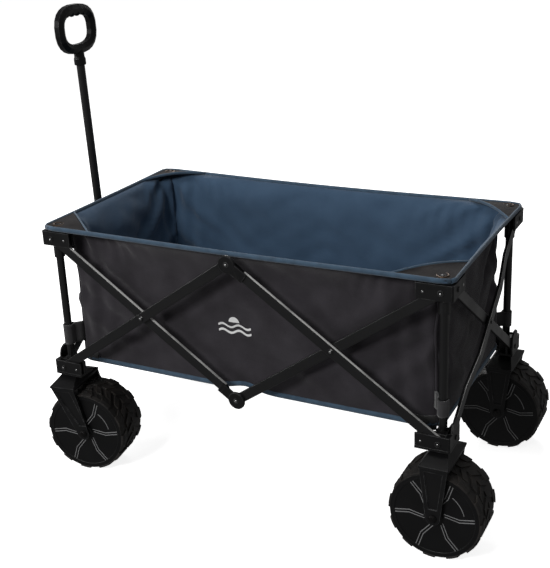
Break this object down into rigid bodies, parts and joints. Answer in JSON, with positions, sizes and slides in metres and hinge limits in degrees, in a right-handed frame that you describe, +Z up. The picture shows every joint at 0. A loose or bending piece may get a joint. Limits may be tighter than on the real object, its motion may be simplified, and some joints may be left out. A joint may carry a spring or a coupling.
{
  "type": "beach cart",
  "caption": "Folding beach cart: open fabric basket on a steel scissor frame with four corner posts, four wide wheels, two of them casters, and a telescoping pull handle.",
  "frame": {"origin": "on the floor, at the middle of the cart's outline seen from above with the handle up and the casters as set; the middle of the four posts is 5.5 mm towards -X and 27 mm towards -Y", "axes": "+Z up, -X towards the handle end, -Y towards the left long side"},
  "size_m": [1.0416, 0.6262, 1.0017],
  "materials": {
    "black_plastic": "moulded black plastic, fine texture",
    "wheel_plastic": "moulded black plastic, satin",
    "black_steel": "satin black powder coat",
    "tyre_rubber": "black tread, matte",
    "zinc_steel": "bright zinc plate",
    "grip_plastic": "gloss black",
    "basket_fabric": "woven polyester, charcoal outside and navy inside"
  },
  "bodies": {
    "front_left_corner": {"front_left_bottom_bracket": "black_plastic", "front_left_post_tube": "black_steel", "basket_left_wall": "basket_fabric", "basket_right_wall": "basket_fabric", "basket_front_wall": "basket_fabric", "basket_rear_wall": "basket_fabric", "basket_floor": "basket_fabric"},
    "rear_left_corner": {"rear_left_bottom_bracket": "black_plastic", "rear_left_post_tube": "black_steel", "rear_left_wheel_fork": "black_plastic", "rear_left_axle_bolt": "zinc_steel"},
    "rear_right_corner": {"rear_right_bottom_bracket": "black_plastic", "rear_right_post_tube": "black_steel", "rear_right_wheel_fork": "black_plastic", "rear_right_axle_bolt": "zinc_steel"},
    "front_right_corner": {"front_right_bottom_bracket": "black_plastic", "front_right_post_tube": "black_steel"},
    "front_left_top": {"front_left_top_bracket": "black_plastic", "front_left_post_rod": "black_steel"},
    "front_left_wheel": {"front_left_wheel_core": "wheel_plastic", "front_left_wheel_tyre": "tyre_rubber"},
    "front_right_top": {"front_right_top_bracket": "black_plastic", "front_right_post_rod": "black_steel"},
    "front_right_wheel": {"front_right_wheel_core": "wheel_plastic", "front_right_wheel_tyre": "tyre_rubber"},
    "rear_left_top": {"rear_left_top_bracket": "black_plastic", "rear_left_post_rod": "black_steel"},
    "rear_left_wheel": {"rear_left_wheel_core": "wheel_plastic", "rear_left_wheel_tyre": "tyre_rubber"},
    "rear_right_top": {"rear_right_top_bracket": "black_plastic", "rear_right_post_rod": "black_steel"},
    "rear_right_wheel": {"rear_right_wheel_core": "wheel_plastic", "rear_right_wheel_tyre": "tyre_rubber"},
    "front_left_caster": {"front_left_wheel_fork": "black_plastic", "front_left_axle_bolt": "zinc_steel"},
    "front_right_caster": {"front_right_wheel_fork": "black_plastic", "front_right_axle_bolt": "zinc_steel"},
    "left_front_rising": {"left_front_rising_bar": "black_steel"},
    "left_front_falling": {"left_front_falling_bar": "black_steel", "left_bottom_hub_cap": "black_plastic"},
    "left_rear_falling": {"left_rear_falling_bar": "black_steel", "left_top_hub_cap": "black_plastic"},
    "left_rear_rising": {"left_rear_rising_bar": "black_steel"},
    "right_front_rising": {"right_front_rising_bar": "black_steel"},
    "right_front_falling": {"right_front_falling_bar": "black_steel", "right_bottom_hub_cap": "black_plastic"},
    "right_rear_falling": {"right_rear_falling_bar": "black_steel", "right_top_hub_cap": "black_plastic"},
    "right_rear_rising": {"right_rear_rising_bar": "black_steel"},
    "front_outer": {"front_outer_bar": "black_steel"},
    "front_inner": {"front_inner_bar": "black_steel"},
    "rear_outer": {"rear_outer_bar": "black_steel"},
    "rear_inner": {"rear_inner_bar": "black_steel"},
    "handle_hanger": {"handle_hanger": "black_steel", "handle_hinge_bolt": "zinc_steel"},
    "handle_pole": {"handle_outer_tube": "black_steel"},
    "handle_slider": {"handle_inner_tube": "black_steel", "handle_grip": "grip_plastic"}
  },
  "joints": [
    {"name": "fold", "type": "hinge", "parent": "front_left_corner", "child": "left_front_rising", "pos_m": [-0.4385, -0.2738, 0.2405], "axis": [0, -1, 0], "range_deg": [0, 38.5], "deforming": ["basket_left_wall", "basket_right_wall", "basket_front_wall", "basket_rear_wall", "basket_floor"]},
    {"name": "left_front_crossing", "type": "hinge", "parent": "left_front_rising", "child": "left_front_falling", "pos_m": [-0.222, -0.2661, 0.3907], "axis": [0, -1, 0], "range_deg": [-77, 0]},
    {"name": "left_middle_high_pivot", "type": "hinge", "parent": "left_front_rising", "child": "left_rear_falling", "pos_m": [-0.0055, -0.2738, 0.5409], "axis": [0, -1, 0], "range_deg": [-77, 0]},
    {"name": "left_rear_crossing", "type": "hinge", "parent": "left_rear_falling", "child": "left_rear_rising", "pos_m": [0.211, -0.2661, 0.3907], "axis": [0, -1, 0], "range_deg": [0, 77]},
    {"name": "front_left_high_pivot", "type": "hinge", "parent": "left_front_falling", "child": "front_left_top", "pos_m": [-0.4385, -0.2661, 0.5409], "axis": [0, -1, 0], "range_deg": [0, 38.5]},
    {"name": "rear_left_low_pivot", "type": "hinge", "parent": "left_rear_falling", "child": "rear_left_corner", "pos_m": [0.4275, -0.2738, 0.2405], "axis": [0, -1, 0], "range_deg": [0, 38.5]},
    {"name": "rear_left_high_pivot", "type": "hinge", "parent": "left_rear_rising", "child": "rear_left_top", "pos_m": [0.4275, -0.2661, 0.5409], "axis": [0, -1, 0], "range_deg": [-38.5, 0]},
    {"name": "right_front_low_pivot", "type": "hinge", "parent": "front_right_corner", "child": "right_front_rising", "pos_m": [-0.4385, 0.2198, 0.2405], "axis": [0, -1, 0], "range_deg": [0, 38.5]},
    {"name": "right_front_crossing", "type": "hinge", "parent": "right_front_rising", "child": "right_front_falling", "pos_m": [-0.222, 0.2121, 0.3907], "axis": [0, -1, 0], "range_deg": [-77, 0]},
    {"name": "right_middle_high_pivot", "type": "hinge", "parent": "right_front_rising", "child": "right_rear_falling", "pos_m": [-0.0055, 0.2198, 0.5409], "axis": [0, -1, 0], "range_deg": [-77, 0]},
    {"name": "right_rear_crossing", "type": "hinge", "parent": "right_rear_falling", "child": "right_rear_rising", "pos_m": [0.211, 0.2121, 0.3907], "axis": [0, -1, 0], "range_deg": [0, 77]},
    {"name": "front_end_left_low_pivot", "type": "hinge", "parent": "front_left_corner", "child": "front_outer", "pos_m": [-0.4541, -0.2435, 0.2405], "axis": [1, 0, 0], "range_deg": [0, 38.5]},
    {"name": "front_end_crossing", "type": "hinge", "parent": "front_outer", "child": "front_inner", "pos_m": [-0.4541, -0.027, 0.3907], "axis": [1, 0, 0], "range_deg": [-77, 0]},
    {"name": "front_end_right_low_pivot", "type": "hinge", "parent": "front_inner", "child": "front_right_corner", "pos_m": [-0.4541, 0.1895, 0.2405], "axis": [1, 0, 0], "range_deg": [0, 38.5]},
    {"name": "front_end_right_high_pivot", "type": "hinge", "parent": "front_outer", "child": "front_right_top", "pos_m": [-0.4541, 0.1895, 0.5409], "axis": [1, 0, 0], "range_deg": [-38.5, 0]},
    {"name": "rear_end_left_low_pivot", "type": "hinge", "parent": "rear_left_corner", "child": "rear_outer", "pos_m": [0.4431, -0.2435, 0.2405], "axis": [1, 0, 0], "range_deg": [0, 38.5]},
    {"name": "rear_end_crossing", "type": "hinge", "parent": "rear_outer", "child": "rear_inner", "pos_m": [0.4431, -0.027, 0.3907], "axis": [1, 0, 0], "range_deg": [-77, 0]},
    {"name": "rear_end_right_low_pivot", "type": "hinge", "parent": "rear_inner", "child": "rear_right_corner", "pos_m": [0.4431, 0.1895, 0.2405], "axis": [1, 0, 0], "range_deg": [0, 38.5]},
    {"name": "rear_end_right_high_pivot", "type": "hinge", "parent": "rear_outer", "child": "rear_right_top", "pos_m": [0.4431, 0.1895, 0.5409], "axis": [1, 0, 0], "range_deg": [-38.5, 0]},
    {"name": "handle_hanger_pivot", "type": "hinge", "parent": "front_outer", "child": "handle_hanger", "pos_m": [-0.4618, -0.027, 0.3907], "axis": [1, 0, 0], "range_deg": [-38.5, 0]},
    {"name": "front_left_swivel", "type": "hinge", "parent": "front_left_corner", "child": "front_left_caster", "pos_m": [-0.4385, -0.2505, 0.2187], "axis": [0, 0, 1], "continuous": true},
    {"name": "front_right_swivel", "type": "hinge", "parent": "front_right_corner", "child": "front_right_caster", "pos_m": [-0.4385, 0.1965, 0.2187], "axis": [0, 0, 1], "continuous": true},
    {"name": "front_left_wheel_spin", "type": "hinge", "parent": "front_left_caster", "child": "front_left_wheel", "pos_m": [-0.39691, -0.24465, 0.0945], "axis": [-0.1392, 0.9903, 0], "continuous": true},
    {"name": "front_right_wheel_spin", "type": "hinge", "parent": "front_right_caster", "child": "front_right_wheel", "pos_m": [-0.4041, 0.22059, 0.0945], "axis": [-0.5736, 0.8191, 0], "continuous": true},
    {"name": "rear_left_wheel_spin", "type": "hinge", "parent": "rear_left_corner", "child": "rear_left_wheel", "pos_m": [0.4275, -0.2505, 0.0945], "axis": [0, 1, 0], "continuous": true},
    {"name": "rear_right_wheel_spin", "type": "hinge", "parent": "rear_right_corner", "child": "rear_right_wheel", "pos_m": [0.4275, 0.1965, 0.0945], "axis": [0, 1, 0], "continuous": true},
    {"name": "handle_tilt", "type": "hinge", "parent": "handle_hanger", "child": "handle_pole", "pos_m": [-0.485, -0.027, 0.2785], "axis": [0, -1, 0], "range_deg": [0, 100]},
    {"name": "handle_slide", "type": "slide", "parent": "handle_pole", "child": "handle_slider", "axis": [-0.0314, 0, 0.9995], "range_m": [-0.18, 0]}
  ],
  "couplings": [
    {"joint": "left_front_crossing", "follows": "fold", "ratio": -2},
    {"joint": "left_middle_high_pivot", "follows": "fold", "ratio": -2},
    {"joint": "left_rear_crossing", "follows": "fold", "ratio": 2},
    {"joint": "front_left_high_pivot", "follows": "fold", "ratio": 1},
    {"joint": "rear_left_low_pivot", "follows": "fold", "ratio": 1},
    {"joint": "rear_left_high_pivot", "follows": "fold", "ratio": -1},
    {"joint": "right_front_low_pivot", "follows": "fold", "ratio": 1},
    {"joint": "right_front_crossing", "follows": "fold", "ratio": -2},
    {"joint": "right_middle_high_pivot", "follows": "fold", "ratio": -2},
    {"joint": "right_rear_crossing", "follows": "fold", "ratio": 2},
    {"joint": "front_end_left_low_pivot", "follows": "fold", "ratio": 1},
    {"joint": "front_end_crossing", "follows": "fold", "ratio": -2},
    {"joint": "front_end_right_low_pivot", "follows": "fold", "ratio": 1},
    {"joint": "front_end_right_high_pivot", "follows": "fold", "ratio": -1},
    {"joint": "rear_end_left_low_pivot", "follows": "fold", "ratio": 1},
    {"joint": "rear_end_crossing", "follows": "fold", "ratio": -2},
    {"joint": "rear_end_right_low_pivot", "follows": "fold", "ratio": 1},
    {"joint": "rear_end_right_high_pivot", "follows": "fold", "ratio": -1},
    {"joint": "handle_hanger_pivot", "follows": "fold", "ratio": -1}
  ]
}
